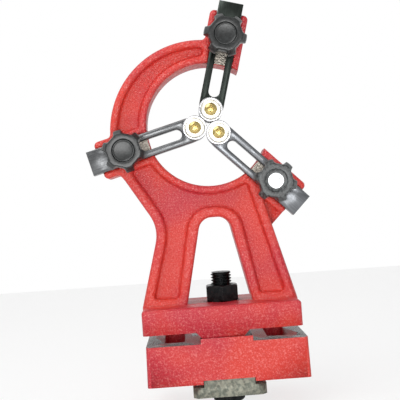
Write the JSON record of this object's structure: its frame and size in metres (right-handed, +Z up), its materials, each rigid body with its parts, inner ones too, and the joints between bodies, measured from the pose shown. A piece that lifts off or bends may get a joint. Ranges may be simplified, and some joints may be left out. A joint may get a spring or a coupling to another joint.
{
  "type": "steady rest",
  "caption": "Fixed steady rest for a bench lathe: a red open cast ring on legs and a riser block, with roller tipped fingers clamped by star knobs and a bolt to the bed.",
  "frame": {"origin": "centre of the riser block's underside, on the clamp bolt's axis, where the part sits on the lathe bed", "axes": "+Z up from the bed, +X to the open side of the ring, +Y to the back; the knobs and rollers face -Y, and the work axis runs along Y"},
  "size_m": [0.1479, 0.06, 0.2706],
  "materials": {
    "textured_red_paint": "coarse hammered red paint over grey cast iron, satin, with worn bare edges on the machined lands",
    "rough_steel": "sawn and lightly oiled",
    "black_oxide_steel": "black oxide, satin",
    "gunmetal_steel": "blued, fine ground grain",
    "bearing_steel": "ground and polished",
    "cage_steel": "pressed sheet",
    "shield_metal": "satin pressed sheet",
    "yellow_zinc_screw": "yellow passivated, bright",
    "zinc_steel": "bright zinc plated",
    "black_plastic": "moulded black plastic, satin, lightly scuffed",
    "cap_plastic": "moulded black plastic, semi gloss"
  },
  "bodies": {
    "stand": {"frame_casting": "textured_red_paint", "riser_block": "textured_red_paint"},
    "bed_clamp": {"clamp_bolt": "black_oxide_steel", "clamp_plate": "rough_steel"},
    "clamp_nut": {"clamp_nut": "black_oxide_steel"},
    "upper_finger": {"upper_finger": "gunmetal_steel", "upper_bearing_inner_ring": "bearing_steel", "upper_roller_spacer": "zinc_steel", "upper_roller_screw": "yellow_zinc_screw"},
    "upper_roller": {"upper_bearing_outer_ring": "bearing_steel", "upper_bearing_front_shield": "shield_metal", "upper_bearing_rear_shield": "shield_metal"},
    "upper_ball_cage": {"upper_bearing_cage": "cage_steel", "upper_bearing_balls": "bearing_steel"},
    "upper_washer": {"upper_knob_washer": "zinc_steel"},
    "upper_knob": {"upper_knob_grip": "black_plastic", "upper_knob_screw": "zinc_steel", "upper_knob_cap": "cap_plastic"},
    "left_finger": {"left_finger": "gunmetal_steel", "left_bearing_inner_ring": "bearing_steel", "left_roller_spacer": "zinc_steel", "left_roller_screw": "yellow_zinc_screw"},
    "left_roller": {"left_bearing_outer_ring": "bearing_steel", "left_bearing_front_shield": "shield_metal", "left_bearing_rear_shield": "shield_metal"},
    "left_ball_cage": {"left_bearing_cage": "cage_steel", "left_bearing_balls": "bearing_steel"},
    "left_washer": {"left_knob_washer": "zinc_steel"},
    "left_knob": {"left_knob_grip": "black_plastic", "left_knob_screw": "zinc_steel", "left_knob_cap": "cap_plastic"},
    "lower_finger": {"lower_finger": "gunmetal_steel", "lower_bearing_inner_ring": "bearing_steel", "lower_roller_spacer": "zinc_steel", "lower_roller_screw": "yellow_zinc_screw"},
    "lower_roller": {"lower_bearing_outer_ring": "bearing_steel", "lower_bearing_front_shield": "shield_metal", "lower_bearing_rear_shield": "shield_metal"},
    "lower_ball_cage": {"lower_bearing_cage": "cage_steel", "lower_bearing_balls": "bearing_steel"},
    "lower_washer": {"lower_knob_washer": "zinc_steel"},
    "lower_knob": {"lower_knob_grip": "black_plastic", "lower_knob_screw": "zinc_steel"}
  },
  "joints": [
    {"name": "clamp_nut_turn", "type": "hinge", "parent": "stand", "child": "clamp_nut", "pos_m": [0, 0, 0.0555], "axis": [0, 0, 1], "range_deg": [0, 1440]},
    {"name": "bed_clamp_drop", "type": "slide", "parent": "stand", "child": "bed_clamp", "axis": [0, 0, -1], "range_m": [0, 0.008]},
    {"name": "upper_finger_slide", "type": "slide", "parent": "stand", "child": "upper_finger", "axis": [0.2588, 0, 0.9659], "range_m": [0, 0.03]},
    {"name": "upper_roller_spin", "type": "hinge", "parent": "upper_finger", "child": "upper_roller", "pos_m": [0.00042, -0.0163, 0.17903], "axis": [0, -1, 0], "continuous": true},
    {"name": "upper_ball_cage_spin", "type": "hinge", "parent": "upper_finger", "child": "upper_ball_cage", "pos_m": [0.00042, -0.0163, 0.17903], "axis": [0, -1, 0], "continuous": true},
    {"name": "upper_knob_advance", "type": "slide", "parent": "stand", "child": "upper_washer", "axis": [0, -1, 0], "range_m": [0, 0.0015]},
    {"name": "upper_knob_turn", "type": "hinge", "parent": "upper_washer", "child": "upper_knob", "pos_m": [0.01319, -0.0142, 0.2267], "axis": [0, -1, 0], "range_deg": [0, 540]},
    {"name": "left_finger_slide", "type": "slide", "parent": "stand", "child": "left_finger", "axis": [-0.9659, 0, -0.2588], "range_m": [0, 0.03]},
    {"name": "left_roller_spin", "type": "hinge", "parent": "left_finger", "child": "left_roller", "pos_m": [-0.01103, -0.0163, 0.16758], "axis": [0, -1, 0], "continuous": true},
    {"name": "left_ball_cage_spin", "type": "hinge", "parent": "left_finger", "child": "left_ball_cage", "pos_m": [-0.01103, -0.0163, 0.16758], "axis": [0, -1, 0], "continuous": true},
    {"name": "left_knob_advance", "type": "slide", "parent": "stand", "child": "left_washer", "axis": [0, -1, 0], "range_m": [0, 0.0015]},
    {"name": "left_knob_turn", "type": "hinge", "parent": "left_washer", "child": "left_knob", "pos_m": [-0.0587, -0.0142, 0.15481], "axis": [0, -1, 0], "range_deg": [0, 540]},
    {"name": "lower_finger_slide", "type": "slide", "parent": "stand", "child": "lower_finger", "axis": [0.7071, 0, -0.7071], "range_m": [0, 0.03]},
    {"name": "lower_roller_spin", "type": "hinge", "parent": "lower_finger", "child": "lower_roller", "pos_m": [0.00461, -0.0163, 0.16339], "axis": [0, -1, 0], "continuous": true},
    {"name": "lower_ball_cage_spin", "type": "hinge", "parent": "lower_finger", "child": "lower_ball_cage", "pos_m": [0.00461, -0.0163, 0.16339], "axis": [0, -1, 0], "continuous": true},
    {"name": "lower_knob_advance", "type": "slide", "parent": "stand", "child": "lower_washer", "axis": [0, -1, 0], "range_m": [0, 0.0015]},
    {"name": "lower_knob_turn", "type": "hinge", "parent": "lower_washer", "child": "lower_knob", "pos_m": [0.03951, -0.0142, 0.12849], "axis": [0, -1, 0], "range_deg": [0, 540]}
  ],
  "couplings": [
    {"joint": "clamp_nut_turn", "follows": "bed_clamp_drop", "rad_per_m": 3141.6},
    {"joint": "upper_ball_cage_spin", "follows": "upper_roller_spin", "ratio": 0.6422},
    {"joint": "upper_knob_advance", "follows": "upper_knob_turn", "m_per_rad": 0.00015915},
    {"joint": "left_ball_cage_spin", "follows": "left_roller_spin", "ratio": 0.6422},
    {"joint": "left_knob_advance", "follows": "left_knob_turn", "m_per_rad": 0.00015915},
    {"joint": "lower_ball_cage_spin", "follows": "lower_roller_spin", "ratio": 0.6422},
    {"joint": "lower_knob_advance", "follows": "lower_knob_turn", "m_per_rad": 0.00015915}
  ]
}
